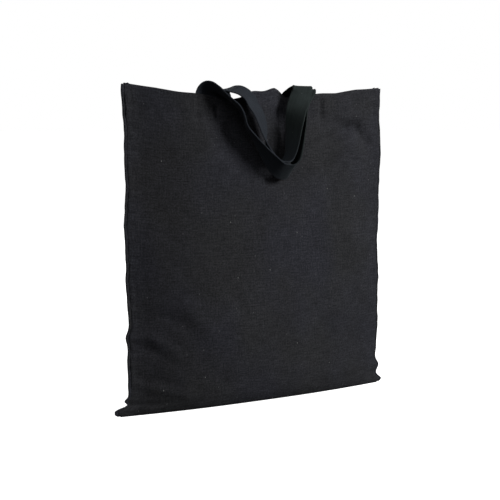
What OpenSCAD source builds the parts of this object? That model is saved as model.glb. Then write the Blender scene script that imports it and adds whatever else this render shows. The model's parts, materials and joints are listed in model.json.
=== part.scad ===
// Canvas tote bag with two short webbing handles, standing and lightly filled.
// X runs across the bag, the front faces -Y, and the bag stands on z = 0.

/* [Bag] */
// Half of the bag's width at its side seams
half_width = 183; // [150:1:220]
// How far each bottom corner sticks out past the side seam
corner_ear = 17; // [5:1:25]
// Height of the mouth at its middle
mouth_height = 400; // [360:5:420]
// How much higher the mouth is at its side seams
mouth_rise = 11; // [0:1:20]
// Thickness of one layer of canvas
canvas = 1; // [0.6:0.1:1.2]

/* [Filling] */
// Half of the depth of the flat that the bag stands on
base_depth = 12; // [10:1:16]
// Half of the depth of the bag at its fullest
belly_depth = 25; // [20:1:28]
// Half of the depth of the open mouth
mouth_depth = 11; // [10:1:13]
// Height at which the bottom has turned up into the wall
turn_height = 30; // [24:1:40]

/* [Hem] */
// Height of the folded hem
hem_height = 27; // [20:1:35]
// Width of a side seam's ridge
ridge = 3.5; // [2:0.5:6]
// Thickness of the sewing thread
thread = 0.5; // [0.3:0.1:0.7]

/* [Handles] */
// Width of the webbing
strap_w = 28; // [20:1:28]
// Thickness of the webbing
strap_t = 1.6; // [1:0.1:2]
// Length of webbing sewn inside the hem
sewn_length = 38; // [30:1:45]

/* [Hidden] */

edge_depth = 1.6;         // half of the depth where a panel meets its side seam
swell = 2.6;              // power of the curve that a panel makes from seam to seam
seam_offset = 3;          // the bottom seam lies this far behind the middle of the base
seam_allowance = 4;       // half of the width of the cloth turned in at the bottom seam
seam_half_length = 120;   // half of the length of that cloth where the bottom is flat
allowance_t = 1.2;        // thickness of that cloth
ear_height = 16;          // height over which a bottom corner narrows
columns = 26;             // cells across a panel
rows = 16;                // cells up a panel
row_power = 1.5;          // packs the rows closer together near the bottom
hem_share = 0.93;         // share of the width that the hem's inner layer covers
stitch_share = 0.985;     // share of the width that a row of stitches covers
stitch_inset = 1.5;       // distance of a row of stitches from the hem's or webbing's edge
box_height = 20;          // height of the stitched box that holds a strap's end
box_top = 4;              // distance of that box below the mouth
layer_gap = 0.15;         // clearance between two layers of cloth, thread or webbing
end_t = 2 * (canvas + layer_gap);                 // layers of canvas outside a strap's end
root_y = mouth_depth - end_t - strap_t / 2;       // distance of a strap's end from the middle
hinge_gap = 2;            // clearance between a line that a strap bends on and the webbing
handle_steps = 3;         // rings between two points of a handle's line

// Each handle's sewn ends and the places where it turns down, as [left, right]
front_roots = [-77, 65];
front_turns = [-59, 61];
front_arches = [8, 1.6];  // rise of the webbing between its two bends
front_turn_y = -21.5;     // where it turns down in front of the bag
front_hinge_z = mouth_height + 5;
back_roots = [-48, 52];
back_turns = [-30, 50];
back_arches = [3, 2.4];
back_turn_y = -27;
back_hinge_z = mouth_height + 10;

black = [0.13, 0.13, 0.14];
webbing = [0.12, 0.14, 0.15];
cotton_thread = [0.2, 0.2, 0.21];

// Each handle's hanging line as [x, y, z, twist, tilt]. At twist 0 and 180 the webbing lies flat
// against the bag and at 90 it stands edge-on to it. A tilt lifts its outer edge.
front_line = [
    [-59, -21.5, 400.5, 30, 0], [-57, -23, 397.5, 44, 0], [-52, -27, 393.5, 60, 4],
    [-42, -29.5, 384, 66, 8], [-35.5, -31, 372, 66, 12], [-31, -32, 358, 69, 15],
    [-20.5, -34, 344, 78, 20], [-11, -36, 330, 83, 25], [-3, -37.5, 319, 86, 28],
    [7, -38, 308.5, 88, 30], [16.5, -38, 304.7, 90, 30], [25.5, -37.5, 305, 90, 28],
    [35, -35, 314, 92, 20], [40, -32.5, 330, 95, 12], [42.5, -31.5, 347, 98, 6], [44, -30, 364, 106, 3],
    [48, -28, 379, 130, 0], [55, -24.5, 388, 160, 0], [60, -22, 394, 176, 0], [61, -21.5, 400, 180, 0]
];
back_line = [
    [-30, -27, 405.5, 5, 0], [-29.5, -27.5, 402, 12, 0], [-27, -30, 397, 26, 0], [-23, -32, 389, 32, 0],
    [-16, -33, 376, 36, 0], [-10, -33, 362, 41, 0], [-7, -33, 350, 51, 0], [-4, -33, 338, 66, 0],
    [1, -33, 326, 80, 0], [8, -33, 317.5, 88, 0], [17, -33, 314.5, 90, 0], [25, -33, 316.5, 91, 0],
    [30, -33.5, 325, 92, 3], [32, -34, 338, 100, 4], [33.5, -34.5, 352, 107, 4], [35, -35, 366, 118, 3],
    [37.5, -34.5, 380, 134, 2], [43.5, -31, 391, 158, 2], [48.5, -28, 398, 176, 0],
    [50, -27, 404, 180, 0]
];

// Half of the width at height z
function wide(z) = half_width + corner_ear * exp(-pow(z / ear_height, 2));
// Height of the mouth at x
function mouth(x) = mouth_height + mouth_rise * pow(min(1, abs(x) / half_width), 3);
// How full a panel is at the share u of its half width
function full(u) = 1 - pow(min(1, abs(u)), swell);
// Half of the depth in the middle of the bag at height z
function middle_depth(z) = z < turn_height
    ? base_depth + (belly_depth - base_depth) * sqrt(1 - pow(1 - z / turn_height, 2))
    : mouth_depth + (belly_depth - mouth_depth)
        * (1 - pow(min(1, (z - turn_height) / (mouth_height - turn_height)), 2.2));
// Half of the depth at the share u of the half width
function depth(u, z) = edge_depth + (middle_depth(z) - edge_depth) * full(u);
// Height inside the cloth above height z outside it
function inside_z(z) = z < turn_height ? canvas + z * (1 - canvas / turn_height) : z;

// A solid between two grids of points, where rows go up and columns go right
module slab(outer, inner) {
    r = len(outer);
    c = len(outer[0]);
    k = r * c;
    border = concat(
        [for (j = [0:c - 1]) j], [for (i = [1:r - 1]) i * c + c - 1],
        [for (j = [c - 2:-1:0]) (r - 1) * c + j], [for (i = [r - 2:-1:1]) i * c]
    );
    n = len(border);
    polyhedron(
        concat([for (row = outer) each row], [for (row = inner) each row]),
        concat(
            [for (i = [0:r - 2], j = [0:c - 2]) [i * c + j, (i + 1) * c + j, (i + 1) * c + j + 1]],
            [for (i = [0:r - 2], j = [0:c - 2]) [i * c + j, (i + 1) * c + j + 1, i * c + j + 1]],
            [for (i = [0:r - 2], j = [0:c - 2]) [k + i * c + j, k + (i + 1) * c + j + 1, k + (i + 1) * c + j]],
            [for (i = [0:r - 2], j = [0:c - 2]) [k + i * c + j, k + i * c + j + 1, k + (i + 1) * c + j + 1]],
            [for (i = [0:n - 1]) [border[i], border[(i + 1) % n], border[(i + 1) % n] + k]],
            [for (i = [0:n - 1]) [border[i], border[(i + 1) % n] + k, border[i] + k]]
        ),
        convexity = 8
    );
}

// Heights up a panel at the share u of its half width
function height_at(u, i) = mouth(u * half_width) * pow(i / rows, row_power);

// A panel from the bottom seam, under the base and up to the mouth, as seen on the front.
// reach is how far its base runs past the middle of the bag.
module panel(reach) {
    turns = [0, 0.5];
    shares = [for (j = [0:columns]) -1 + 2 * j / columns];
    function base_row(q, d, z) = [for (u = shares)
        let (start = reach * full(u)) [u * wide(0), start - (start + depth(u, 0) - d) * q, z]];
    outer = concat(
        [for (q = turns) base_row(q, 0, 0)],
        [for (i = [0:rows]) [for (u = shares)
            let (z = height_at(u, i)) [u * wide(z), -depth(u, z), z]]]
    );
    inner = concat(
        [for (q = turns) base_row(q, canvas, canvas)],
        [for (i = [0:rows]) [for (u = shares)
            let (z = height_at(u, i)) [u * wide(z), canvas - depth(u, z), inside_z(z)]]]
    );
    slab(outer, inner);
}

// A layer of cloth or thread on the front near the mouth, from x0 to x1, at levels measured from
// the mouth's edge, and between two distances in from the outer face
module layer(x0, x1, levels, out_from, out_to, cells = 8) {
    function face(off) = [for (level = levels) [for (j = [0:cells])
        let (x = x0 + (x1 - x0) * j / cells, z = mouth(x) + level)
        [x, off - depth(x / half_width, min(z, mouth_height)), z]]];
    slab(face(out_from), face(out_to));
}

module back_side() {
    mirror([0, 1, 0]) children();
}

module side_seam() {
    heights = [for (i = [0:rows]) height_at(1, i)];
    function face(y) = [for (z = heights) [[wide(z), y, z], [wide(z) + ridge, y, z]]];
    slab(face(-edge_depth), face(edge_depth));
}

module hem() {
    reach = hem_share * half_width;
    layer(-reach, reach, [-hem_height, -hem_height / 2, 0], canvas + layer_gap, end_t - layer_gap, columns);
}

// Thread on the outer face
module stitches(x0, x1, low, high, cells) {
    layer(x0, x1, [low, high], -layer_gap - thread, -layer_gap, cells);
}

module hem_stitch() {
    reach = stitch_share * half_width;
    low = stitch_inset - hem_height;
    stitches(-reach, reach, low, low + thread, columns);
}

// The stitched boxes that hold a handle's two ends
module box_stitch(roots) {
    half = strap_w / 2 - stitch_inset;
    low = -box_top - box_height;
    for (x = roots) {
        stitches(x - half, x + half, -box_top - thread, -box_top, 8);
        stitches(x - half, x + half, low, low + thread, 8);
        stitches(x - half, x - half + thread, low, -box_top, 1);
        stitches(x + half - thread, x + half, low, -box_top, 1);
    }
}

// A handle's end, from inside the hem to just under the line that it bends on
module strap_end(x, hinge_z) {
    top = hinge_z - hinge_gap - mouth(x);
    layer(x - strap_w / 2, x + strap_w / 2, [-sewn_length, -sewn_length / 2, 0, top], end_t, end_t + strap_t);
}

// A smooth curve through four points at the share t between the middle two
function between(a, b, c, d, t) = 0.5 * (2 * b + (c - a) * t
    + (2 * a - 5 * b + 4 * c - d) * t * t + (3 * b - a - 3 * c + d) * t * t * t);
function smooth(line, steps) = let (n = len(line)) concat(
    [for (i = [0:n - 2], k = [0:steps - 1]) between(
        line[max(0, i - 1)], line[i], line[i + 1], line[min(n - 1, i + 2)], k / steps)],
    [line[n - 1]]
);
function xyz(p) = [p[0], p[1], p[2]];
function unit(v) = v / norm(v);

// Webbing along a list of points, where sides says which way its width runs at each of them
module ribbon(points, sides) {
    n = len(points);
    function along(i) = points[min(n - 1, i + 1)] - points[max(0, i - 1)];
    function edge(i, side, skin) = points[i] + sides[i] * side * strap_w / 2
        + unit(cross(along(i), sides[i])) * skin * strap_t / 2;
    slab(
        [for (i = [0:n - 1]) [edge(i, 1, -1), edge(i, -1, -1)]],
        [for (i = [0:n - 1]) [edge(i, 1, 1), edge(i, -1, 1)]]
    );
}

// Webbing swept along a line of [x, y, z, twist, tilt]
module strap(line) {
    n = len(line);
    points = [for (p = line) xyz(p)];
    function side(i) = let (
        t = unit(points[min(n - 1, i + 1)] - points[max(0, i - 1)]),
        tilt = line[i][4],
        w = [-cos(line[i][3]) * cos(tilt), -sin(line[i][3]) * cos(tilt), sin(tilt)]
    ) unit(w - (w * t) * t);
    ribbon(points, [for (i = [0:n - 1]) side(i)]);
}

// The webbing between a handle's two bends, from its end at x0 and y to its turn at x1 and turn_y
module bend(x0, x1, y, turn_y, hinge_z, arch) {
    from = y - hinge_gap;
    to = turn_y + hinge_gap;
    shares = [0:0.125:1];
    ribbon(
        [for (t = shares) [x0 + (x1 - x0) * t, from + (to - from) * t, hinge_z + arch * sin(180 * t)]],
        [for (t = shares) [-1, 0, 0]]
    );
}
// side is 0 for the left bend and 1 for the right one
module front_bend(side) {
    color(webbing)
        bend(front_roots[side], front_turns[side], -root_y, front_turn_y, front_hinge_z, front_arches[side]);
}
module back_bend(side) {
    color(webbing)
        bend(back_roots[side], back_turns[side], root_y, back_turn_y, back_hinge_z, back_arches[side]);
}

module front_panel() { color(black) panel(seam_offset); }
module back_panel() { color(black) back_side() panel(-seam_offset); }
module right_side_seam() { color(black) side_seam(); }
module left_side_seam() { color(black) mirror([1, 0, 0]) side_seam(); }
module bottom_seam() {
    color(black) translate([-seam_half_length, seam_offset - seam_allowance, canvas])
        cube([2 * seam_half_length, 2 * seam_allowance, allowance_t]);
}
module front_hem() { color(black) hem(); }
module back_hem() { color(black) back_side() hem(); }
module front_hem_stitch() { color(cotton_thread) hem_stitch(); }
module back_hem_stitch() { color(cotton_thread) back_side() hem_stitch(); }
module front_box_stitch() { color(cotton_thread) box_stitch(front_roots); }
module back_box_stitch() { color(cotton_thread) back_side() box_stitch(back_roots); }
module front_left_strap_end() { color(webbing) strap_end(front_roots[0], front_hinge_z); }
module front_right_strap_end() { color(webbing) strap_end(front_roots[1], front_hinge_z); }
module back_left_strap_end() { color(webbing) back_side() strap_end(back_roots[0], back_hinge_z); }
module back_right_strap_end() { color(webbing) back_side() strap_end(back_roots[1], back_hinge_z); }
module front_left_bend() { front_bend(0); }
module front_right_bend() { front_bend(1); }
module back_left_bend() { back_bend(0); }
module back_right_bend() { back_bend(1); }
module front_handle() { color(webbing) strap(smooth(front_line, handle_steps)); }
module back_handle() { color(webbing) strap(smooth(back_line, handle_steps)); }

front_panel();
back_panel();
left_side_seam();
right_side_seam();
bottom_seam();
front_hem();
back_hem();
front_hem_stitch();
back_hem_stitch();
front_box_stitch();
back_box_stitch();
front_left_strap_end();
front_right_strap_end();
back_left_strap_end();
back_right_strap_end();
front_left_bend();
front_right_bend();
front_handle();
back_left_bend();
back_right_bend();
back_handle();
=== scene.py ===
import json
import math
import bpy
import numpy as np
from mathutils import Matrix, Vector, noise


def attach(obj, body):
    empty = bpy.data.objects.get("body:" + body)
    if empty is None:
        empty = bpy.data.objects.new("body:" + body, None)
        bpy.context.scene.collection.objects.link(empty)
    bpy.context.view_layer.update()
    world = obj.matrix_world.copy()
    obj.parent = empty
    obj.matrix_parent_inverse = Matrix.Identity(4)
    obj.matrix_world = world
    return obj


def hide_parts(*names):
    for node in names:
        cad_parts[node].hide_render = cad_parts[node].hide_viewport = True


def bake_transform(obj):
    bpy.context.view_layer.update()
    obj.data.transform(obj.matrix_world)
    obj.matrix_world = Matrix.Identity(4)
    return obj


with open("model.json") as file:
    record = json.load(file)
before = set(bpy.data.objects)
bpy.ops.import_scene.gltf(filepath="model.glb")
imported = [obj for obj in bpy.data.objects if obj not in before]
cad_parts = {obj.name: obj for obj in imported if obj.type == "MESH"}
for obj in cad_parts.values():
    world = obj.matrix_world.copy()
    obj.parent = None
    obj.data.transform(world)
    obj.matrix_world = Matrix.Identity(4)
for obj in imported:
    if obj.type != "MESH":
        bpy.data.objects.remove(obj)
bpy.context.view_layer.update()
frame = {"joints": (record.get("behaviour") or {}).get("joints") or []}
joints = {j["name"]: j["pos_m"] for j in frame["joints"]}

MM = 0.001

# The bag's measures in millimetres, as in the CAD model
HALF_WIDTH = 183.0
MOUTH_HEIGHT = 400.0
MOUTH_RISE = 11.0
BASE_DEPTH = 12.0
BELLY_DEPTH = 25.0
MOUTH_DEPTH = 11.0
TURN_HEIGHT = 30.0
EDGE_DEPTH = 1.6
SWELL = 2.6                 # the power with which the depth falls off towards the sides
SEAM_OFFSET = 3.0
HEM_HEIGHT = 27.0
STITCH_INSET = 1.5
STRAP_W = 28.0
STRAP_T = 1.6
STRAP_LAYERS = 2.3          # canvas outside a strap's sewn end
BOX_TOP = 4.0
BOX_HEIGHT = 20.0
SEWN_LENGTH = 38.0
FRONT_ROOTS = (-77.0, 65.0)
BACK_ROOTS = (-48.0, 52.0)

# The bag's cloth
CLOTH = 0.9                 # thickness of the canvas
FOLD_RADIUS = 0.6           # of the hem's fold at the mouth
COLUMN_STEP = 2.4           # size of a cell across the cloth
ROW_STEP = 2.6              # size of a cell up the cloth
TURN_STEPS = 30             # cells round the turn at the bottom
BASE_STEPS = 4              # cells under the base
MOUTH_POWER = 3             # with which the mouth's edge rises towards the sides
WALL_POWER = 2.2            # with which the walls close towards the mouth
REACH_POWER = 4             # with which a side's reach grows from the middle
NOISE_GAIN = 1.6            # brings the noise to about 1 at its highest
HEM_ROWS = 11               # rows of points down the hem's inner layer
HEM_SHARE = 0.965           # of the mouth's width, for the hem's inner layer
EDGE_CROWD = 1.12           # how much closer the columns lie near a side

# The left corner's ear, as how far it stands out and the heights where it ends
LEFT_EAR = 17.0
LEFT_EAR_END = (8, 14)

# How far the sides lie from the CAD model's: in at the left's top, more at its foot, and out at the right
LEFT_LEAN = 3.3
LEFT_FOOT_LEAN = 2.0
RIGHT_LEAN = 2.4

# Bulges of the side edges as (size, height above the base, width)
LEFT_BULGES = [(5, 19, 3.5), (3, 98, 8)]
RIGHT_BULGES = [(9, 5, 5.5), (5, 26, 7)]

# Waves along a side edge as (size, length, times the phase)
EDGE_WAVES = [(1.1, 31, 1), (0.7, 13, 2), (0.3, 5.3, 1)]

# Waves in the cloth as (height, size, added seed, how much taller than wide)
CLOTH_WAVES = [(2.2, 110, 0, 1.5), (1.3, 46, 5, 1.4), (0.42, 17, 9, 1.0), (0.16, 7, 11, 1.0)]

# The camera, in front of the bag and to its left: metres, radians, and millimetres for its lens and sensor
CAMERA_AT = (-0.607, -1.1606, 0.3599)
CAMERA_YAW = 0.4743
CAMERA_PITCH = 0.1224
CAMERA_LENS = 72.65
CAMERA_SENSOR = 36.0


# ---------------------------------------------------------------- shape of the bag

def gauss(x, middle, width):
    """A bump of height 1 at its middle."""
    return np.exp(-((x - middle) / width) ** 2)


def smooth(x, low, high):
    """A rise from 0 at low to 1 at high."""
    t = np.clip((x - low) / (high - low), 0, 1)
    return t * t * (3 - 2 * t)


def full(u):
    """The share of the bag's depth at the share u of its half width."""
    return 1 - np.minimum(1, np.abs(u)) ** SWELL


def mouth(x):
    """Height of the mouth's edge at x."""
    return MOUTH_HEIGHT + MOUTH_RISE * np.minimum(1, np.abs(x) / HALF_WIDTH) ** MOUTH_POWER


def middle_depth(z):
    """Half the bag's depth in its middle at height z."""
    turn = np.clip(z / TURN_HEIGHT, 0, 1)
    up = np.clip((z - TURN_HEIGHT) / (MOUTH_HEIGHT - TURN_HEIGHT), 0, 1)
    low = BASE_DEPTH + (BELLY_DEPTH - BASE_DEPTH) * np.sqrt(1 - (1 - turn) ** 2)
    high = MOUTH_DEPTH + (BELLY_DEPTH - MOUTH_DEPTH) * (1 - up ** WALL_POWER)
    return np.where(z < TURN_HEIGHT, low, high)


def depth(u, z):
    """Half the bag's depth at the share u of its half width and height z."""
    return EDGE_DEPTH + (middle_depth(z) - EDGE_DEPTH) * full(u)


def edge_wobble(z, phase):
    """Small waves along a side seam."""
    return sum(size * np.sin(z / length + times * phase) for size, length, times in EDGE_WAVES)


def bulges(z, listed):
    """The sum of a side edge's bulges at height z."""
    return sum(size * gauss(z, height, width) for size, height, width in listed)


def left_reach(z):
    """How far the cloth's left side stands out past the side seam's line."""
    ear = LEFT_EAR * (1 - smooth(z, *LEFT_EAR_END)) * (0.75 + 0.25 * smooth(z, 0, 4))
    lean = LEFT_LEAN + LEFT_FOOT_LEAN * (1 - z / MOUTH_HEIGHT)
    return ear + bulges(z, LEFT_BULGES) + edge_wobble(z, 1.0) - lean


def right_reach(z):
    """How far the cloth's right side stands out past the side seam's line."""
    return bulges(z, RIGHT_BULGES) + edge_wobble(z, 4.0) + RIGHT_LEAN


def side_x(u, z):
    """The cloth's x at the share u of its half width."""
    reach = np.where(u < 0, -left_reach(z), right_reach(z))
    return u * HALF_WIDTH + reach * np.abs(u) ** REACH_POWER


# How much the front's and back's mouth edge rises and dips, as (x, rise)
FRONT_EDGE = [(-183, 0), (-144, 0.5), (-113, -1.6), (-97, -1.6), (-88, -1.8), (-76, -3.5), (-64, -5.5),
              (-56, -7), (-48, -8.5), (-38, -6.5), (-28, -4.5), (-20, 0), (-14, 4), (2, 3), (12, 6),
              (19, 9), (24, 6), (30, -1), (37, -6), (46, -2), (64, -2), (90, -0.3), (108, -0.3),
              (126, 1.4), (145, 2.5), (163, 1.2), (183, 0)]
BACK_EDGE = [(-183, 0), (-150, 1), (-110, -2), (-70, -1.5), (-56, -4.5), (-40, -8.5), (-28, -6.5),
             (-18, -4), (-5, 0), (10, 1), (30, -1.5), (41, -5), (52, -3), (66, -1), (100, 1),
             (140, -1), (183, 0)]

EDGE_SOFTENING = (-6, -3, 3, 6)     # the places beside a point whose rises are mixed into its own
EDGE_RISE_FROM = (330, 396)         # the heights between which the mouth's rises come in

FOLD_DEPTH = 1.6            # times the heights below
FOLD_FADE = 14              # height above the base where waves and folds reach their full depth
HEM_STEP = 0.35             # how far the double cloth of the hem stands out
HEM_GROOVE = 0.8            # depth of the groove along the hem's stitching
GROOVE_WIDTH = 1.6
HEM_RIPPLE = 0.35           # height of the ripples beside that stitching
RIPPLE_RATE = 2.9           # millimetres along the hem for each radian of a ripple
RIPPLE_WIDTH = 9
SEAM_GATHER = 0.6           # height of the gathers beside a side seam
GATHER_RATE = 2.3           # millimetres up the seam for each radian of a gather
GATHER_WIDTH = 9
SEAM_DIP = 0.7              # depth of the channel beside a side seam
DIP_AT = 7.5                # its distance from the seam
DIP_WIDTH = 2.2

# Soft folds in the cloth as (x0, z0, x1, z1, width, height), where a negative height is a valley
FRONT_FOLDS = [
    (-154, 98, -118, 72, 7, 1.9), (-180, 92, -140, 76, 6, -1.5), (-183, 104, -150, 96, 7, 1.2),
    (-110, 134, -72, 92, 10, 1.7), (-138, 124, -104, 108, 8, -1.3), (-157, 145, -118, 128, 10, 0.8),
    (-155, 33, -106, 21, 6, 1.6), (-174, 50, -126, 36, 6, -1.4), (-156, 12, -146, 12, 4, -1.2),
    (165, 338, 146, 358, 7, -3.6), (150, 356, 92, 366, 9, -4.2), (134, 354, 56, 326, 8, -4.6),
    (128, 338, 72, 308, 9, 2.8), (163, 312, 114, 373, 9, 0.9), (178, 330, 172, 300, 7, -0.9),
    (-70, 384, -96, 320, 9, -0.7), (-96, 388, -130, 310, 10, 0.7), (-164, 326, -144, 329, 7, -0.8),
    (-83, 276, -48, 284, 16, -0.8), (-40, 300, -10, 120, 26, 1.2), (70, 250, 20, 90, 30, -1.0),
    (150, 200, 110, 60, 22, 1.0), (183, 40, 140, 52, 7, 1.1), (183, 26, 120, 18, 6, -1.0),
    (20, 40, 110, 30, 12, 0.7), (-60, 30, 30, 36, 12, -0.6), (176, 130, 130, 150, 10, 0.7),
    (-176, 220, -120, 200, 12, 0.8), (-150, 262, -90, 240, 16, -0.8),
]
BACK_FOLDS = [
    (-183, 60, -110, 90, 9, 1.4), (-180, 84, -120, 118, 8, -1.2), (183, 80, 120, 64, 9, 1.3),
    (-60, 384, -90, 300, 10, 1.0), (70, 384, 110, 300, 10, 1.0), (60, 384, 50, 310, 9, -0.8),
    (-40, 384, -20, 300, 10, -0.9), (-40, 280, -10, 100, 28, 1.4), (80, 240, 40, 80, 28, -1.2),
    (150, 210, 110, 70, 20, 1.0), (160, 30, 90, 22, 7, -1.1), (-160, 30, -90, 24, 8, 1.0),
]

# Narrow puckers beside the sewn ends as (x, depth, width, low, high)
FRONT_PUCKERS = [(-64, 3.5, 3.0, 374, 388), (-90, 1.2, 2.6, 372, 398), (88, 3.8, 3.2, 378, 392),
                 (80, 0.8, 2.4, 374, 396), (50, 0.8, 2.4, 374, 396), (-30, 0.7, 3.0, 374, 398)]
BACK_PUCKERS = [(-63, 1.3, 2.6, 370, 396), (-33, 1.2, 2.6, 372, 396), (37, 1.2, 2.6, 372, 396),
                (67, 1.3, 2.6, 370, 396)]

SIDES = {
    "front": {"sign": -1, "edge": FRONT_EDGE, "folds": FRONT_FOLDS, "puckers": FRONT_PUCKERS, "seed": 3.0},
    "back": {"sign": 1, "edge": BACK_EDGE, "folds": BACK_FOLDS, "puckers": BACK_PUCKERS, "seed": 41.0},
}


def wander(x, z, size, seed, tall=1.0):
    """Smooth noise from -1 to 1 over the cloth, with bumps of about that size in millimetres."""
    flat_x, flat_z = np.broadcast_arrays(x / size, z / (size * tall))
    values = [noise.noise(Vector((a, b, seed))) for a, b in zip(flat_x.ravel(), flat_z.ravel())]
    return np.array(values).reshape(flat_x.shape) * NOISE_GAIN


def fold(x, z, x0, z0, x1, z1, width, height):
    """A rounded ridge or valley from one point to another, lower at its far end."""
    dx, dz = x1 - x0, z1 - z0
    t = ((x - x0) * dx + (z - z0) * dz) / (dx * dx + dz * dz)
    away = np.hypot(x - x0 - np.clip(t, 0, 1) * dx, z - z0 - np.clip(t, 0, 1) * dz)
    return height * np.exp(-(away / width) ** 2) * (1 - 0.6 * np.clip(t, 0, 1))


def hem_relief(x, z, seed):
    """The step, groove and ripple along the hem's stitching."""
    below = mouth(x) - z
    line = HEM_HEIGHT - STITCH_INSET
    band = smooth(-below, -line - 1, -line + 3)
    groove = -HEM_GROOVE * gauss(below, line, GROOVE_WIDTH)
    phase = x / RIPPLE_RATE + 3 * wander(x, z * 0, 60, seed)
    ripple = HEM_RIPPLE * np.sin(phase) * gauss(below, line - 2, RIPPLE_WIDTH)
    return HEM_STEP * band + groove + ripple


def seam_relief(u, z, seed):
    """Small gathers beside a side seam."""
    away = (1 - np.abs(u)) * HALF_WIDTH
    phase = z / GATHER_RATE + 4 * wander(z * 0, z, 70, seed + np.sign(u).flat[0])
    gathers = SEAM_GATHER * np.sin(phase) * gauss(away, 0, GATHER_WIDTH) * smooth(away, 0, 3)
    strip = 0.5 + 0.7 * wander(z * 0, z, 60, seed + 2 * np.sign(u).flat[0])
    return gathers - SEAM_DIP * strip * gauss(away, DIP_AT, DIP_WIDTH)


def relief(side, u, x, z):
    """How far the cloth stands out from its plain shape, in millimetres."""
    s = SIDES[side]
    seed = s["seed"]
    d = sum(height * wander(x, z, size, seed + extra, tall) for height, size, extra, tall in CLOTH_WAVES)
    for f in s["folds"]:
        d = d + FOLD_DEPTH * fold(x, z, *f)
    for middle, deep, wide, low, high in s["puckers"]:
        span = smooth(z, low - 14, low) * (1 - smooth(z, high - 2, high + 6))
        d = d - deep * gauss(x, middle, wide) * span
    d = d * (1 - np.abs(u) ** 10) * smooth(z, 0, FOLD_FADE)
    return d + (hem_relief(x, z, seed) + seam_relief(u, z, seed)) * smooth(z, 4, 20)


def edge_rise(side, x, z):
    """How far the cloth near the mouth is lifted."""
    xs, rises = zip(*SIDES[side]["edge"])
    fine = np.interp(x, xs, rises)
    soft = sum(np.interp(x + beside, xs, rises) for beside in EDGE_SOFTENING) / len(EDGE_SOFTENING)
    return (fine + soft) / 2 * smooth(z, *EDGE_RISE_FROM)


def skin(side, u, z, inset=0.0):
    """Points on the bag's outside at share u and height z, moved inset millimetres in."""
    x = side_x(u, z)
    out = relief(side, u, x, z)
    rise = edge_rise(side, x, z)
    low = np.where(z < TURN_HEIGHT, inset * (1 - z / TURN_HEIGHT), 0)
    y = SIDES[side]["sign"] * (depth(u, z) - inset + out)
    return np.stack([x, y, z + low + rise], -1)


def shares_across():
    """The columns' shares of the half width, closer together near the sides."""
    count = 2 * int(HALF_WIDTH / COLUMN_STEP)
    plain = np.linspace(-1, 1, count + 1)
    return np.sign(plain) * (1 - (1 - np.abs(plain)) ** EDGE_CROWD)


def cloth_rows(side):
    """Rows of one panel: under the base, up the wall, over the mouth's fold and down inside the hem."""
    u = shares_across()
    half = CLOTH / 2
    sign = SIDES[side]["sign"]
    rows = []
    start = SEAM_OFFSET * full(u)
    end = sign * (depth(u, np.zeros_like(u)) - half)
    for i in range(BASE_STEPS):
        q = i / BASE_STEPS
        x = side_x(u, np.zeros_like(u))
        rows.append(np.stack([x, start + (end - start) * q, np.full_like(u, half)], -1))
    for i in range(TURN_STEPS):
        z = TURN_HEIGHT * (1 - math.cos(math.pi / 2 * i / TURN_STEPS))
        rows.append(skin(side, u, np.full_like(u, z), half))
    top = mouth(u * HALF_WIDTH)
    walls = int((MOUTH_HEIGHT - TURN_HEIGHT) / ROW_STEP)
    for i in range(walls + 1):
        rows.append(skin(side, u, TURN_HEIGHT + (top - FOLD_RADIUS - TURN_HEIGHT) * i / walls, half))
    edge = rows[-1]
    for angle in (45, 90, 135):
        a = math.radians(angle)
        turn = np.zeros_like(edge)
        turn[:, 1] = -sign * FOLD_RADIUS * (1 - math.cos(a))
        turn[:, 2] = FOLD_RADIUS * math.sin(a)
        rows.append(edge + turn)
    inner = u * HEM_SHARE
    for drop in np.linspace(0, HEM_HEIGHT, HEM_ROWS):
        z = mouth(inner * HALF_WIDTH) - FOLD_RADIUS - drop
        rows.append(skin(side, inner, z, half + 2 * FOLD_RADIUS))
    return np.array(rows)


# ---------------------------------------------------------------- meshes

def new_object(name, points, faces, uvs=None):
    mesh = bpy.data.meshes.new(name)
    mesh.from_pydata((np.asarray(points) * MM).tolist(), [], faces)
    if uvs is not None:
        layer = mesh.uv_layers.new(name="weave")
        index = np.zeros(len(mesh.loops), int)
        mesh.loops.foreach_get("vertex_index", index)
        layer.data.foreach_set("uv", (np.asarray(uvs)[index] * MM).astype(np.float32).ravel())
    mesh.polygons.foreach_set("use_smooth", [True] * len(mesh.polygons))
    mesh.update()
    made = bpy.data.objects.new(name, mesh)
    bpy.context.scene.collection.objects.link(made)
    return made


def lengths(points):
    """Distance run along a line of points."""
    steps = np.linalg.norm(np.diff(points, axis=0), axis=1)
    return np.concatenate([[0], np.cumsum(steps)])


def grid(name, rows, flip):
    """A sheet from rows of points, with its weave laid along it in millimetres."""
    r, c, _ = rows.shape
    middle = c // 2
    along = lengths(rows[:, middle])
    across = lengths(rows[r // 2])
    uvs = np.stack(np.meshgrid(across, along), -1).reshape(-1, 2)
    faces = []
    for i in range(r - 1):
        for j in range(c - 1):
            a, b = i * c + j, (i + 1) * c + j
            faces.append((a, b, b + 1, a + 1) if flip else (a, a + 1, b + 1, b))
    return new_object(name, rows.reshape(-1, 3), faces, uvs)


def tube(name, rings, uv_rings):
    """A closed solid through rings of points."""
    n, m, _ = rings.shape
    faces = []
    for i in range(n - 1):
        for j in range(m):
            a, b = i * m + j, i * m + (j + 1) % m
            faces.append((a, b, b + m, a + m))
    faces.append(tuple(range(m - 1, -1, -1)))
    faces.append(tuple(range((n - 1) * m, n * m)))
    return new_object(name, rings.reshape(-1, 3), faces, uv_rings.reshape(-1, 2))


def solidify(piece, thickness):
    mod = piece.modifiers.new("thickness", "SOLIDIFY")
    mod.thickness = thickness * MM
    mod.offset = 0
    mod.use_even_offset = True


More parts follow.
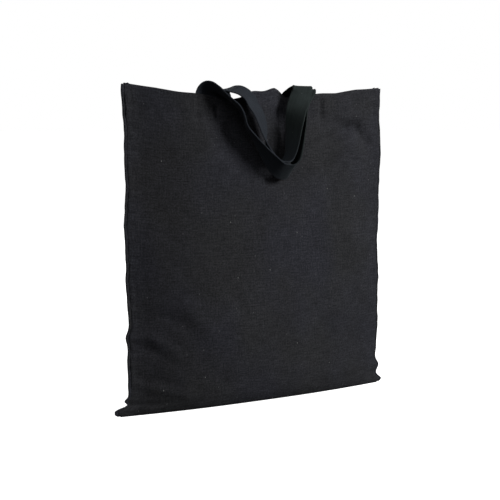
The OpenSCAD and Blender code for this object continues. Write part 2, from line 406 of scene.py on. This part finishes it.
def finish_piece(piece, body, material, nodes):
    """Gives a piece its material and body, and hides the CAD nodes that it replaces."""
    piece.data.materials.append(material)
    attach(piece, body)
    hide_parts(*nodes)
    return piece


# ---------------------------------------------------------------- materials

CANVAS_GREY = (0.0236, 0.0239, 0.0258)
CANVAS_BLUE = (0.0238, 0.0244, 0.0300)
CANVAS_DUST = (0.11, 0.11, 0.115)
CANVAS_LINT = (0.15, 0.155, 0.15)
# The webbing's paler blue is a painted lit side; its own greenish black, a little darker, serves as the
# painted shaded side
WEBBING_PAINTED_LIT_BLUE = (0.0185, 0.0218, 0.0275)
WEBBING_SHADED_GREEN = (0.0158, 0.0208, 0.0204)
WEBBING_LINT = (0.1, 0.11, 0.11)
THREAD_BLACK = (0.015, 0.0155, 0.017)
CANVAS_THREADS = 1700       # of the weave, in a metre
WEBBING_RIBS = 620          # in a metre
THREAD_TWISTS = 1500        # in a metre
LEFT_PAINTED_SHADE = (0.02, 0.17)    # metres from the cloth's left edge, over which its painted shade fades out
LEFT_PAINTED_HIGHLIGHT = (0.006, 0.024)  # metres from that edge, over which its painted highlight, a paler rim, ends
LIT_TO_SHADED_RUN = (0.17, 0.25)    # metres along a strap, over which it turns from a painted lit blue to its greenish black as painted shade
LINT_LEFT_OUT = 0.72        # the share of places without lint
FLOOR_GLOW = 0.97


class Nodes:
    """A short way to build a fabric's nodes, with sizes as counts per metre of cloth."""

    def __init__(self, name):
        self.material = bpy.data.materials.new(name)
        self.material.use_nodes = True
        self.tree = self.material.node_tree
        self.shader = self.tree.nodes["Principled BSDF"]
        self.uv = self.tree.nodes.new("ShaderNodeUVMap")
        self.uv.uv_map = "weave"

    def link(self, source, target):
        if isinstance(source, (int, float)):
            target.default_value = source
        else:
            self.tree.links.new(source, target)

    def math(self, operation, a, b=0.0, c=0.0):
        node = self.tree.nodes.new("ShaderNodeMath")
        node.operation = operation
        for value, socket in zip((a, b, c), node.inputs):
            self.link(value, socket)
        return node.outputs[0]

    def scaled(self, x, y):
        """The weave's coordinates times x and y, which are counts per metre."""
        node = self.tree.nodes.new("ShaderNodeMapping")
        node.inputs["Scale"].default_value = (x, y, 1)
        self.tree.links.new(self.uv.outputs[0], node.inputs["Vector"])
        return node.outputs[0]

    def split(self, vector):
        node = self.tree.nodes.new("ShaderNodeSeparateXYZ")
        self.tree.links.new(vector, node.inputs[0])
        return node.outputs[0], node.outputs[1]

    def noise(self, x, y, detail=2.0):
        node = self.tree.nodes.new("ShaderNodeTexNoise")
        node.inputs["Scale"].default_value = 1
        node.inputs["Detail"].default_value = detail
        self.tree.links.new(self.scaled(x, y), node.inputs["Vector"])
        return node.outputs["Fac"]

    def spread(self, value, low, high, out_low, out_high):
        """A value from low to high moved smoothly to the range from out_low to out_high."""
        node = self.tree.nodes.new("ShaderNodeMapRange")
        node.interpolation_type = "SMOOTHSTEP"
        self.tree.links.new(value, node.inputs["Value"])
        names = ("From Min", "From Max", "To Min", "To Max")
        for name, number in zip(names, (low, high, out_low, out_high)):
            node.inputs[name].default_value = number
        return node.outputs["Result"]

    def vary(self, value, amount):
        """A noise turned into a factor about 1, which goes up and down by that amount."""
        return self.spread(value, 0.3, 0.7, 1 - amount, 1 + amount)

    def product(self, first, *others):
        for other in others:
            first = self.math("MULTIPLY", first, other)
        return first

    def mix(self, share, a, b):
        node = self.tree.nodes.new("ShaderNodeMix")
        node.data_type = "RGBA"
        self.link(share, node.inputs["Factor"])
        for value, socket in zip((a, b), (node.inputs["A"], node.inputs["B"])):
            if isinstance(value, tuple):
                socket.default_value = (*value, 1)
            else:
                self.tree.links.new(value, socket)
        return node.outputs["Result"]

    def tint(self, colour, factor):
        """A colour made lighter and darker by a factor about 1."""
        node = self.tree.nodes.new("ShaderNodeVectorMath")
        node.operation = "SCALE"
        if isinstance(colour, tuple):
            node.inputs[0].default_value = colour
        else:
            self.tree.links.new(colour, node.inputs[0])
        self.link(factor, node.inputs["Scale"])
        return node.outputs["Vector"]

    def bump(self, height, distance, strength):
        node = self.tree.nodes.new("ShaderNodeBump")
        node.inputs["Distance"].default_value = distance
        node.inputs["Strength"].default_value = strength
        self.tree.links.new(height, node.inputs["Height"])
        self.tree.links.new(node.outputs["Normal"], self.shader.inputs["Normal"])

    def surface(self, colour, roughness, specular, sheen, sheen_roughness, sheen_tint):
        """The fabric's colour, how it shines, and the soft light of its fibres."""
        self.tree.links.new(colour, self.shader.inputs["Base Color"])
        self.shader.inputs["Roughness"].default_value = roughness
        self.shader.inputs["Specular IOR Level"].default_value = specular
        self.shader.inputs["Sheen Weight"].default_value = sheen
        self.shader.inputs["Sheen Roughness"].default_value = sheen_roughness
        self.shader.inputs["Sheen Tint"].default_value = (*sheen_tint, 1)


def plain_weave(n, per_metre):
    """Height of a plain weave, where each thread goes over and under the next."""
    x, y = n.split(n.scaled(per_metre, per_metre))
    wobble = n.math("MULTIPLY", n.noise(300, 300), 0.5)
    x = n.math("ADD", x, wobble)
    y = n.math("ADD", y, wobble)
    sin_x = n.math("SINE", n.math("MULTIPLY", x, math.pi))
    sin_y = n.math("SINE", n.math("MULTIPLY", y, math.pi))
    over = n.math("GREATER_THAN", n.math("MULTIPLY", sin_x, sin_y), 0.0)
    round_x = n.math("ABSOLUTE", sin_x)
    round_y = n.math("ABSOLUTE", sin_y)
    warp = n.math("MULTIPLY", round_x, n.math("MULTIPLY_ADD", round_y, 0.45, 0.55))
    weft = n.math("MULTIPLY", round_y, n.math("MULTIPLY_ADD", round_x, 0.45, 0.55))
    under = n.math("SUBTRACT", 1.0, over)
    return n.math("ADD", n.math("MULTIPLY", warp, over), n.math("MULTIPLY", weft, under))


def lint(n, per_metre, size):
    """Sparse short fibres that cling to the cloth, as 0 or 1."""
    node = n.tree.nodes.new("ShaderNodeTexVoronoi")
    node.voronoi_dimensions = "2D"
    node.inputs["Scale"].default_value = 1
    n.tree.links.new(n.scaled(per_metre, per_metre * 0.6), node.inputs["Vector"])
    near = n.math("LESS_THAN", node.outputs["Distance"], size)
    red, _ = n.split(node.outputs["Color"])
    return n.math("MULTIPLY", near, n.math("GREATER_THAN", red, LINT_LEFT_OUT))


def canvas_material():
    n = Nodes("black_canvas")
    weave = plain_weave(n, CANVAS_THREADS)
    slub_x = n.noise(60, 700, detail=3)
    slub_y = n.noise(700, 60, detail=3)
    clouds = n.noise(14, 11, detail=4)
    grain = n.noise(520, 460, detail=3)
    across, _ = n.split(n.scaled(1, 1))
    # Painted shade: the cloth is made darker towards its left side, as if the key light from the right
    # falls away there
    side = n.spread(across, *LEFT_PAINTED_SHADE, 0.72, 1.0)
    # Painted highlight: a paler rim along the cloth's left edge
    edge = n.spread(across, *LEFT_PAINTED_HIGHLIGHT, 1.35, 1.0)
    tone = n.product(
        n.vary(slub_x, 0.2), n.vary(slub_y, 0.16), n.vary(grain, 0.32), n.vary(clouds, 0.08),
        n.math("MULTIPLY_ADD", weave, 0.5, 0.68), side, edge)
    patches = n.spread(n.noise(9, 7), 0.35, 0.65, 0, 1)
    colour = n.tint(n.mix(patches, CANVAS_GREY, CANVAS_BLUE), tone)
    dust = n.math("MULTIPLY", lint(n, per_metre=42, size=0.022), 0.5)
    colour = n.mix(dust, colour, CANVAS_DUST)
    colour = n.mix(lint(n, per_metre=21, size=0.010), colour, CANVAS_LINT)
    height = n.math("ADD", weave, n.math("MULTIPLY", n.math("ADD", slub_x, slub_y), 0.8))
    n.bump(height, distance=0.00022, strength=0.75)
    n.surface(colour, roughness=0.92, specular=0.08, sheen=0.012,
              sheen_roughness=0.45, sheen_tint=(0.75, 0.8, 0.9))
    return n.material


def webbing_material():
    n = Nodes("black_webbing")
    x, y = n.split(n.scaled(WEBBING_RIBS, WEBBING_RIBS))
    slant = n.math("SINE", n.math("MULTIPLY", n.math("ADD", x, y), 2 * math.pi))
    ribs = n.math("SINE", n.math("MULTIPLY", x, 2 * math.pi))
    height = n.math("MULTIPLY_ADD", slant, 0.5, n.math("MULTIPLY", ribs, 0.25))
    slub = n.noise(500, 50, detail=3)
    clouds = n.noise(40, 18, detail=3)
    tone = n.product(n.spread(height, -0.75, 0.75, 0.72, 1.22), n.vary(slub, 0.12), n.vary(clouds, 0.1))
    _, run = n.split(n.scaled(1, 1))
    # Painted light and shade: the first part of a strap is painted as lit blue, the rest as shaded green
    colour = n.tint(n.mix(n.spread(run, *LIT_TO_SHADED_RUN, 0, 1), WEBBING_PAINTED_LIT_BLUE, WEBBING_SHADED_GREEN), tone)
    fluff = n.math("MULTIPLY", lint(n, per_metre=60, size=0.026), 0.4)
    colour = n.mix(fluff, colour, WEBBING_LINT)
    n.bump(n.math("ADD", height, slub), distance=0.00025, strength=0.8)
    n.surface(colour, roughness=0.88, specular=0.12, sheen=0.02,
              sheen_roughness=0.4, sheen_tint=(0.75, 0.85, 0.95))
    return n.material


def thread_material():
    n = Nodes("black_thread")
    x, y = n.split(n.scaled(1, 1))
    twist = n.math("SINE", n.math("MULTIPLY", n.math("ADD", x, y), 2 * math.pi * THREAD_TWISTS))
    fuzz = n.noise(900, 900)
    tone = n.product(n.spread(twist, -1, 1, 0.75, 1.25), n.vary(fuzz, 0.15))
    n.bump(n.math("ADD", twist, fuzz), distance=0.0001, strength=0.6)
    n.surface(n.tint(THREAD_BLACK, tone), roughness=0.75, specular=0.2, sheen=0.06,
              sheen_roughness=0.4, sheen_tint=(0.8, 0.85, 0.9))
    return n.material


def floor_material():
    n = Nodes("white_floor")
    shade = n.spread(n.noise(3, 3), 0.3, 0.7, 0.94, 0.96)
    n.surface(n.tint((1.0, 1.0, 1.0), shade), roughness=0.9, specular=0.1, sheen=0,
              sheen_roughness=0.5, sheen_tint=(1, 1, 1))
    n.shader.inputs["Emission Color"].default_value = (1, 1, 1, 1)
    n.shader.inputs["Emission Strength"].default_value = FLOOR_GLOW
    return n.material


# ---------------------------------------------------------------- cloth pieces

SEAM_RINGS = 190
SEAM_FOOT = 1.2             # the ridge's lowest ring
SEAM_GAP = 0.8              # from its highest ring to the mouth's corner
SEAM_SIDES = 12             # points round the ridge
SEAM_OUT = 1.7              # from the cloth's edge to the middle of the ridge
SEAM_REACH = 2.1            # half the ridge's width
SEAM_THICK = 1.55           # half the ridge's thickness
SEAM_UNEVEN = 0.25          # how much the ridge's half width and half thickness vary
SEAM_POWER = 0.7            # of the cosine, which makes the ridge's outline squarer
SEAM_ROUND = 1.9            # its mean radius, for laying the weave round it

# The ridge's waves to the front and back, as (size, length)
SEAM_WAVES = [(0.45, 9), (0.7, 40)]

TURNED_RINGS = 81
TURNED_REACH = 120.0        # half the length of the cloth turned in at the bottom
TURNED_LIFT = 1.05          # from the ground to the cloth's underside

# The turned cloth's outline as (y, z) from the seam
TURNED_OUTLINE = [(-4, 0), (-4, 1.1), (-2, 1.35), (0, 1.5), (2, 1.3), (4, 1.0), (4, 0), (0, 0)]


def make_cloth(side, material):
    piece = grid(side + "_cloth", cloth_rows(side), side == "back")
    solidify(piece, CLOTH)
    return finish_piece(piece, "bag", material, [side + "_panel", side + "_hem"])


def make_side_seam(name, sign, material, node):
    """The sewn ridge where the two panels meet, as a soft roll that ripples."""
    heights = np.linspace(SEAM_FOOT, MOUTH_HEIGHT + MOUTH_RISE - SEAM_GAP, SEAM_RINGS)
    x = side_x(np.full_like(heights, float(sign)), heights)
    seed = 7.0 + sign
    level = heights * 0
    ripple = sum(size * wander(level, heights, length, seed) for size, length in SEAM_WAVES)
    reach = SEAM_REACH + SEAM_UNEVEN * wander(level, heights, 12, seed + 3)
    thick = SEAM_THICK + SEAM_UNEVEN * wander(level, heights, 8, seed + 5)
    angles = np.linspace(0, 2 * math.pi, SEAM_SIDES, endpoint=False)
    out = np.sign(np.cos(angles)) * np.abs(np.cos(angles)) ** SEAM_POWER
    rings, uvs = [], []
    for i, z in enumerate(heights):
        rings.append(np.stack([
            x[i] + sign * (SEAM_OUT + reach[i] * out),
            ripple[i] + thick[i] * np.sin(angles),
            np.full_like(angles, z)], -1))
        uvs.append(np.stack([HALF_WIDTH + angles * SEAM_ROUND, np.full_like(angles, z)], -1))
    rings = np.array(rings)
    if sign < 0:
        rings = rings[:, ::-1]
    return finish_piece(tube(name, rings, np.array(uvs)), "bag", material, [node])


def make_bottom_seam(material):
    """The cloth turned in at the bottom seam, inside the bag."""
    rings, uvs = [], []
    for x in np.linspace(-TURNED_REACH, TURNED_REACH, TURNED_RINGS):
        bend = 0.5 * math.sin(x / 19)
        swell = 1.12 + 0.1 * math.sin(x / 7)
        ring = [(x, SEAM_OFFSET + bend + y * 0.95, TURNED_LIFT + z * swell) for y, z in TURNED_OUTLINE]
        rings.append(ring)
        uvs.append([(x, y * 2) for y, _ in TURNED_OUTLINE])
    piece = tube("bottom_seam_cloth", np.array(rings)[:, ::-1], np.array(uvs))
    return finish_piece(piece, "bag", material, ["bottom_seam"])


# ---------------------------------------------------------------- stitching

STITCH_LENGTH = 2.5
STITCH_SPACING = 3.3
STITCH_RADIUS = 0.3
STITCH_ARC = 0.14           # how far a stitch bows out in its middle
STITCH_LIFT = 0.12          # from the cloth to a stitch's middle line
HEM_RUNS = 12               # straight runs in a hem's line of stitches
HEM_REACH = 0.985           # of the half width, for the hem's stitches

# A stitch's rings as (place along it from -1 to 1, share of its radius)
HOOPS = [(-1.0, 0.12), (-0.82, 0.75), (-0.4, 1.0), (0.4, 1.0), (0.82, 0.75), (1.0, 0.12)]
HOOP_SIDES = 6


def stitch(start, end, out, index):
    """One stitch as a rounded bead between two points, with its faces numbered from index."""
    along = (end - start) / np.linalg.norm(end - start)
    side = np.cross(along, out)
    middle = (start + end) / 2
    points, uvs, faces = [], [], []
    for k, (t, r) in enumerate(HOOPS):
        for h in range(HOOP_SIDES):
            a = 2 * math.pi * h / HOOP_SIDES
            ring = side * math.cos(a) + out * (math.sin(a) * 0.8)
            arc = STITCH_ARC * (1 - t * t)
            points.append(middle + along * t * STITCH_LENGTH / 2 + ring * r * STITCH_RADIUS + out * arc)
            uvs.append((t * STITCH_LENGTH / 2, a * STITCH_RADIUS))
            if k:
                b = index + k * HOOP_SIDES
                nxt = (h + 1) % HOOP_SIDES
                faces.append((b + h, b + nxt, b + nxt - HOOP_SIDES, b + h - HOOP_SIDES))
    last = index + (len(HOOPS) - 1) * HOOP_SIDES
    faces.append(tuple(index + h for h in range(HOOP_SIDES)))
    faces.append(tuple(last + h for h in reversed(range(HOOP_SIDES))))
    return points, uvs, faces


def on_skin(side, x, below):
    """The point on the bag's outside at x and that far below the mouth's edge."""
    return skin(side, np.array([x / HALF_WIDTH]), np.array([mouth(x) - below]))[0]


def stitch_row(side, start, end, store):
    """Stitches from one (x, distance below the mouth) to another."""
    start, end = np.array(start), np.array(end)
    run = end - start
    count = max(1, round(np.linalg.norm(run) / STITCH_SPACING))
    share = STITCH_LENGTH / STITCH_SPACING / 2
    out = np.array([0, SIDES[side]["sign"], 0.0])
    lift = out * STITCH_LIFT
    for i in range(count):
        first = start + run * (i + 0.5 - share) / count
        second = start + run * (i + 0.5 + share) / count
        a, b = on_skin(side, *first), on_skin(side, *second)
        points, uvs, faces = stitch(a + lift, b + lift, out, len(store[0]))
        store[0].extend(points)
        store[1].extend(uvs)
        store[2].extend(faces)


def make_thread(name, side, paths, material, node):
    """All the stitches along some runs, as one piece."""
    store = ([], [], [])
    for start, end in paths:
        stitch_row(side, start, end, store)
    piece = new_object(name, store[0], store[2], store[1])
    return finish_piece(piece, "bag", material, [node])


def hem_path():
    """The hem's stitches, as runs from one (x, distance below the mouth) to another."""
    reach = HEM_REACH * HALF_WIDTH
    level = HEM_HEIGHT - STITCH_INSET
    xs = np.linspace(-reach, reach, HEM_RUNS + 1)
    return [((a, level), (b, level)) for a, b in zip(xs[:-1], xs[1:])]


def box_path(roots):
    """The four sides of the box stitched over each of a handle's sewn ends."""
    half = STRAP_W / 2 - STITCH_INSET
    low = BOX_TOP + BOX_HEIGHT
    paths = []
    for x in roots:
        corners = [(x - half, BOX_TOP), (x + half, BOX_TOP), (x + half, low), (x - half, low)]
        paths += list(zip(corners, corners[1:] + corners[:1]))
    return paths


# ---------------------------------------------------------------- handles

# Each handle's line as [x, y, z, twist, tilt]: out of its left sewn end, over its left bend, along its
# loop, and over its right bend, all in millimetres and degrees.
FRONT_LEFT = [[-77, -7.4, 398, 0, 0], [-75.5, -8.6, 404, 8, 12], [-72.5, -11.5, 407.5, 20, 24],
              [-67.5, -15.5, 407, 34, 30], [-62.5, -19.5, 403, 48, 28], [-57.5, -23.5, 398, 56, 18]]
FRONT_LOOP = [
    [-52, -27, 393.5, 60, 8], [-42, -29.5, 384, 66, 7], [-35.5, -31, 372, 66, 7], [-31, -32, 358, 66, 8],
    [-20.5, -34.5, 343, 68, 16], [-10.5, -37.5, 328.5, 75, 28], [-2, -40, 317, 82, 38],
    [8.5, -41, 306, 87, 45], [18, -41, 302.2, 90, 46], [26.5, -40, 302.8, 90, 42],
    [35.5, -36.5, 312.5, 92, 30], [40, -33, 329.5, 95, 15], [42.5, -31.5, 347, 98, 6],
    [44, -30, 364, 106, 3], [45, -28.5, 377, 112, 0], [47, -26.5, 387, 126, 0], [51, -23.5, 395, 146, 0],
]
FRONT_RIGHT = [[56.5, -19.8, 401, 164, 0], [61, -15.8, 404, 174, 0], [64, -11.2, 405.4, 180, 0],
               [65, -8.2, 402.8, 180, 0], [65, -7.4, 397, 182, 0]]
BACK_LEFT = [[-48, 7.4, 398, 4, 0], [-46.8, 5.4, 403.5, 12, -4], [-43, 0, 406.5, 22, -12],
             [-36, -9.5, 406, 31, -17], [-30.5, -17.5, 402.5, 35, -15], [-27, -24, 397.5, 37, -12]]
BACK_LOOP = [
    [-24.8, -29, 392.5, 35, -6], [-22.5, -32, 386, 33, -2], [-16, -33, 376, 36, 0],
    [-10, -33, 362, 41, 0], [-7, -33, 350, 51, 0], [-4, -33, 338, 66, 0],
    [1, -33, 326, 80, 0], [8, -33, 317.5, 88, 0], [17, -33, 314.5, 90, 0], [25, -33, 316.5, 91, 0],
    [30, -33.5, 325, 92, 3], [32, -34, 338, 100, 4], [33.5, -34.5, 352, 107, 4], [35, -35, 366, 118, 3],
    [37.5, -34.5, 380, 134, 2], [43.5, -31, 391, 158, 2], [48.5, -28, 399, 176, 0],
]
BACK_RIGHT = [[51, -26.5, 406, 180, 0], [52.3, -23.5, 410, 180, 0], [52.5, -15, 409, 180, 0],
              [52.3, -5, 405.5, 180, 0], [52, 4, 401.5, 180, 0], [52, 7.2, 396, 178, 0]]

PATH_STEP = 1.6             # distance between two rings of a strap
CURVE_STEPS = 8             # between two of a line's points, before it is divided evenly
SEWN_BELOW = (SEWN_LENGTH, 28, 18, 9)   # a sewn end's points, below the mouth

# A strap's points from its edge in to its middle, as distances from the middle
HALF_SECTION = [13.95, 13.7, 13.2, 12.6, 11.8, 10.5, 7, 3.5]

SELVEDGE = 0.14             # extra thickness near a strap's edge
SELVEDGE_AT = 12.7          # its distance from the strap's middle
SELVEDGE_WIDTH = 0.7


def between(a, b, c, d, t):
    """The point at the share t from b to c, on a smooth curve that also passes a and d."""
    return 0.5 * (2 * b + (c - a) * t + (2 * a - 5 * b + 4 * c - d) * t ** 2
                  + (3 * b - a - 3 * c + d) * t ** 3)


def curve(line):
    """A smooth curve through a line's points, with its points a path step apart."""
    points = np.array(line, float)
    ends = np.concatenate([points[:1], points, points[-1:]])
    fine = [between(*ends[i:i + 4], k / CURVE_STEPS)
            for i in range(len(points) - 1) for k in range(CURVE_STEPS)]
    fine = np.array(fine + [points[-1]])
    run = lengths(fine[:, :3])
    count = int(run[-1] / PATH_STEP)
    even = np.linspace(0, run[-1], count + 1)
    return np.stack([np.interp(even, run, fine[:, k]) for k in range(fine.shape[1])], -1)


def sewn_line(side, x, upward):
    """A strap's end inside the hem, from its cut end up to the mouth or back down."""
    points = []
    for below in SEWN_BELOW:
        z = MOUTH_HEIGHT - below
        at = skin(side, np.array([x / HALF_WIDTH]), np.array([z]), STRAP_LAYERS + STRAP_T / 2)[0]
        points.append([x, at[1], z, 0 if upward else 180, 0])
    return points if upward else points[::-1]


def section():
    """A strap's outline across its width, as (across, through), with a thicker rounded selvedge."""
    half, flat = STRAP_W / 2, STRAP_W / 2 - STRAP_T / 2
    top = []
    for w in HALF_SECTION + [0] + [-w for w in reversed(HALF_SECTION)]:
        over = max(0.0, (abs(w) - flat) / (half - flat))
        rounded = STRAP_T / 2 * math.sqrt(max(0.0, 1 - over ** 2))
        selvedge = SELVEDGE * math.exp(-((abs(w) - SELVEDGE_AT) / SELVEDGE_WIDTH) ** 2)
        top.append((w, rounded + selvedge))
    return top + [(w, -t) for w, t in reversed(top)]


def strap_rings(path):
    """The strap's outline at each point of its path, turned by the path's twist and tilt."""
    points = path[:, :3]
    tangents = np.gradient(points, axis=0)
    tangents /= np.linalg.norm(tangents, axis=1)[:, None]
    twist, tilt = np.radians(path[:, 3]), np.radians(path[:, 4])
    ways = np.stack([-np.cos(twist) * np.cos(tilt), -np.sin(twist) * np.cos(tilt), np.sin(tilt)], -1)
    ways -= (ways * tangents).sum(1)[:, None] * tangents
    ways /= np.linalg.norm(ways, axis=1)[:, None]
    faces_out = np.cross(tangents, ways)
    run = lengths(points)
    outline = section()
    rings, uvs = [], []
    for i in range(len(points)):
        ring = [points[i] + ways[i] * w + faces_out[i] * t for w, t in outline]
        rings.append(ring)
        uvs.append([(w, run[i]) for w, _ in outline])
    return np.array(rings), np.array(uvs)


def nearest(path, y, start, end):
    """The ring between two others that lies closest to y."""
    return start + int(np.argmin(np.abs(path[start:end, 1] - y)))


def make_handle(side, left, loop, right, roots, material):
    """A handle as three pieces of one strip of webbing, cut in the rigid middle of each bend."""
    line = sewn_line(side, roots[0], True) + left + loop + right + sewn_line(side, roots[1], False)
    path = curve(line)
    rings, uvs = strap_rings(path)
    root, turn = joints[side + "_handle_root"], joints[side + "_handle_lift"]
    middle_y = (root[1] + turn[1]) / 2 / MM
    quarter = len(path) // 4
    cut_a = nearest(path, middle_y, 0, quarter)
    cut_b = nearest(path, middle_y, len(path) - quarter, len(path))
    parts = [
        (side + "_left_webbing_end", 0, cut_a + 1, [side + "_left_strap_end", side + "_left_bend"]),
        (side + "_webbing_loop", cut_a, cut_b + 1, [side + "_handle"]),
        (side + "_right_webbing_end", cut_b, len(path), [side + "_right_strap_end", side + "_right_bend"]),
    ]
    for name, first, last, nodes in parts:
        piece = tube(name, rings[first:last], uvs[first:last])
        piece.data.materials.append(material)
        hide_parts(*nodes)
        if name.endswith("loop"):
            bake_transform(piece)
        else:
            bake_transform(piece)


# ---------------------------------------------------------------- light, floor and camera

FLOOR_REACH = 60000.0
FLOOR_LEVEL = -0.3
BACKDROP_SEEN = 1.0         # the backdrop's strength as the camera sees it
BACKDROP_LIGHT = 0.11       # and as it lights the bag

# The lights as (name, place, aim, width, watts), in metres
LIGHTS = [
    ("key", (0.95, -1.3, 0.88), (0, 0, 0.2), 0.65, 33),
    ("fill", (-1.2, -0.75, 1.9), (0, 0, 0.3), 0.8, 11),
    ("back_fill", (0.5, 2.0, 1.0), (0, 0, 0.2), 1.4, 12),
]


def make_floor():
    ends = (-FLOOR_REACH, FLOOR_REACH)
    points = [(x, y, FLOOR_LEVEL) for y in ends for x in ends]
    uvs = [(x, y) for x, y, _ in points]
    floor = new_object("floor", points, [(0, 1, 3, 2)], uvs)
    floor.data.materials.append(floor_material())
    floor.visible_diffuse = False
    floor.visible_glossy = False


def make_light(name, at, towards, size, power):
    light = bpy.data.lights.new(name, "AREA")
    light.shape = "DISK"
    light.size = size
    light.energy = power
    made = bpy.data.objects.new(name, light)
    made.location = at
    made.rotation_euler = (Vector(towards) - Vector(at)).to_track_quat("-Z", "Y").to_euler()
    bpy.context.scene.collection.objects.link(made)


def make_world(to_camera, to_object):
    """A white backdrop, dimmer as a light than as a background."""
    world = bpy.data.worlds.new("studio")
    bpy.context.scene.world = world
    world.use_nodes = True
    tree = world.node_tree
    background = tree.nodes["Background"]
    background.inputs["Color"].default_value = (1, 1, 1, 1)
    rays = tree.nodes.new("ShaderNodeLightPath")
    strength = tree.nodes.new("ShaderNodeMapRange")
    strength.inputs["To Min"].default_value = to_object
    strength.inputs["To Max"].default_value = to_camera
    tree.links.new(rays.outputs["Is Camera Ray"], strength.inputs["Value"])
    tree.links.new(strength.outputs["Result"], background.inputs["Strength"])


def make_camera():
    camera = bpy.data.cameras.new("camera")
    camera.lens = CAMERA_LENS
    camera.sensor_width = CAMERA_SENSOR
    made = bpy.data.objects.new("camera", camera)
    made.location = CAMERA_AT
    made.rotation_euler = (math.pi / 2 - CAMERA_PITCH, 0, -CAMERA_YAW)
    bpy.context.scene.collection.objects.link(made)
    bpy.context.scene.camera = made


# ---------------------------------------------------------------- the scene

make_camera()
canvas = canvas_material()
webbing = webbing_material()
thread = thread_material()

front = make_cloth("front", canvas)
back = make_cloth("back", canvas)
make_side_seam("left_seam_ridge", -1, canvas, "left_side_seam")
make_side_seam("right_seam_ridge", 1, canvas, "right_side_seam")
make_bottom_seam(canvas)
front_thread = make_thread("front_hem_thread", "front", hem_path(), thread, "front_hem_stitch")
back_thread = make_thread("back_hem_thread", "back", hem_path(), thread, "back_hem_stitch")
make_thread("front_box_thread", "front", box_path(FRONT_ROOTS), thread, "front_box_stitch")
make_thread("back_box_thread", "back", box_path(BACK_ROOTS), thread, "back_box_stitch")
make_handle("front", FRONT_LEFT, FRONT_LOOP, FRONT_RIGHT, FRONT_ROOTS, webbing)
make_handle("back", BACK_LEFT, BACK_LOOP, BACK_RIGHT, BACK_ROOTS, webbing)

make_floor()
make_world(BACKDROP_SEEN, BACKDROP_LIGHT)
for light in LIGHTS:
    make_light(*light)

bpy.context.scene.view_settings.view_transform = "Standard"
bpy.context.scene.view_settings.look = "None"
